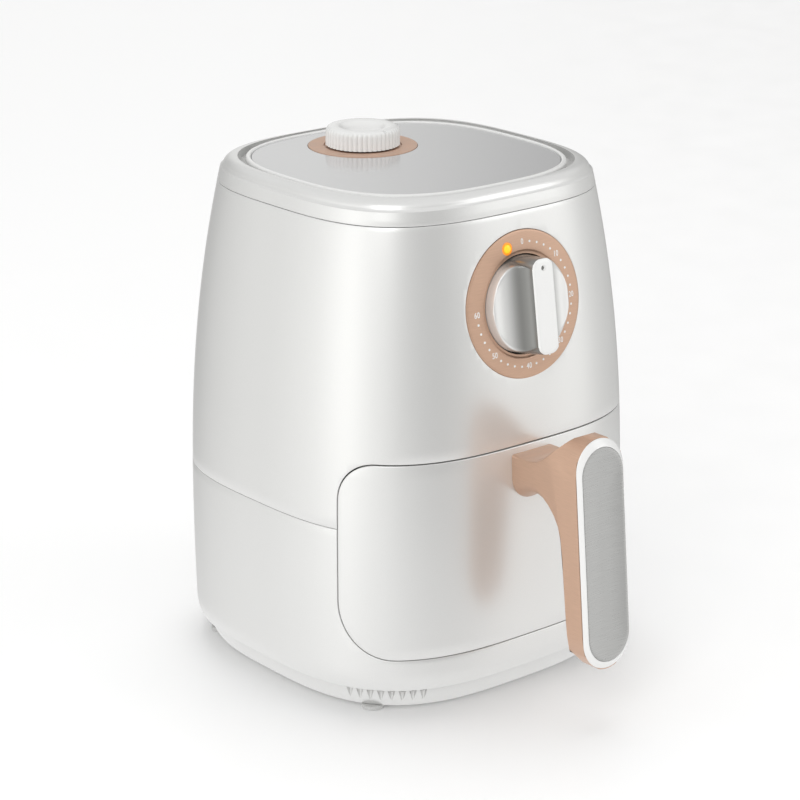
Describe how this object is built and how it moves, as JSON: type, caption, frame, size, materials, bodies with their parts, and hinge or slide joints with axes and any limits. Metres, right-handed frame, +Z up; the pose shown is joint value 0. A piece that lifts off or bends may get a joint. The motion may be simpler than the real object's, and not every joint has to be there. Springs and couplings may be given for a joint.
{
  "type": "air fryer",
  "caption": "Compact countertop air fryer with a rounded-square body, a front pull-out drawer with an upright handle, a twist timer on the front and a temperature dial on the lid.",
  "frame": {"origin": "On the surface it stands on, at the centre of the bounding box.", "axes": "+Z up, the drawer and handle face -Y, +X to the right as seen from the front."},
  "size_m": [0.2026, 0.2662, 0.2748],
  "materials": {
    "pearl_shell": "pearl white, glossy",
    "silver_gloss": "silver grey, glossy",
    "silver_satin": "silver, satin",
    "white_gloss": "white, glossy",
    "rose_gold": "rose-gold lacquer, satin",
    "amber_lens": "amber, translucent",
    "foot_rubber": "pale grey, matte",
    "screw_steel": "zinc plated",
    "black_plastic": "black, matte",
    "switch_white": "cream, matte",
    "nonstick": "black non-stick coating, fine texture",
    "silicone": "black silicone, matte",
    "sheet_metal": "rolled sheet, satin",
    "fan_aluminium": "stamped, satin",
    "element_steel": "heat-darkened tube",
    "motor_steel": "lacquered steel",
    "bell_brass": "plain brass"
  },
  "bodies": {
    "housing": {"lower_housing": "pearl_shell", "upper_housing": "pearl_shell", "top_collar": "pearl_shell", "lid_panel": "silver_gloss", "temperature_ring": "rose_gold", "timer_ring": "rose_gold", "indicator_lens": "amber_lens", "indicator_lamp": "amber_lens", "base_tray": "pearl_shell", "foot_front_left": "foot_rubber", "foot_front_right": "foot_rubber", "foot_rear_left": "foot_rubber", "foot_rear_right": "foot_rubber", "base_screw_front_left": "screw_steel", "base_screw_front_right": "screw_steel", "base_screw_rear_left": "screw_steel", "base_screw_rear_right": "screw_steel", "rear_grille": "pearl_shell", "cord_gland": "black_plastic", "chamber_liner": "sheet_metal", "mouth_frame": "sheet_metal", "element_well": "sheet_metal", "heating_element": "element_steel", "rail_left": "sheet_metal", "rail_right": "sheet_metal", "fan_motor": "motor_steel", "motor_bracket": "sheet_metal", "thermostat_body": "motor_steel", "thermostat_bracket": "sheet_metal", "timer_mechanism": "sheet_metal", "timer_bell": "bell_brass", "door_switch": "black_plastic", "terminal_block": "switch_white", "thermal_fuse": "sheet_metal"},
    "drawer": {"drawer_front": "pearl_shell", "front_shield": "black_plastic", "drawer_pan": "nonstick", "handle_body": "rose_gold", "handle_trim": "white_gloss", "handle_plate": "silver_satin", "handle_screw_left": "screw_steel", "handle_screw_right": "screw_steel"},
    "tray": {"crisper_tray": "nonstick", "tray_bumper_front": "silicone", "tray_bumper_right": "silicone", "tray_bumper_back": "silicone", "tray_bumper_left": "silicone"},
    "timer_dial": {"timer_knob": "white_gloss", "timer_shaft": "screw_steel"},
    "temperature_dial": {"temperature_knob": "white_gloss", "thermostat_shaft": "screw_steel"},
    "fan": {"chamber_fan": "fan_aluminium", "motor_shaft": "screw_steel", "cooling_fan": "fan_aluminium"},
    "plunger": {"switch_plunger": "switch_white"}
  },
  "joints": [
    {"name": "drawer_slide", "type": "slide", "parent": "housing", "child": "drawer", "axis": [0, -1, 0], "range_m": [0, 0.13]},
    {"name": "tray_lift", "type": "slide", "parent": "drawer", "child": "tray", "axis": [0, 0, 1], "range_m": [0, 0.07]},
    {"name": "timer_turn", "type": "hinge", "parent": "housing", "child": "timer_dial", "pos_m": [0, -0.06603, 0.2065], "axis": [0, 0.9898, -0.1426], "range_deg": [0, 267.5]},
    {"name": "temperature_turn", "type": "hinge", "parent": "housing", "child": "temperature_dial", "pos_m": [0, 0.06235, 0.27], "axis": [0, 0, -1], "range_deg": [0, 270]},
    {"name": "fan_spin", "type": "hinge", "parent": "housing", "child": "fan", "pos_m": [0, 0.02705, 0.17], "axis": [0, 0, 1], "continuous": true},
    {"name": "plunger_press", "type": "slide", "parent": "housing", "child": "plunger", "axis": [0, 1, 0], "range_m": [0, 0.0015], "stiffness_N_per_m": 300}
  ]
}
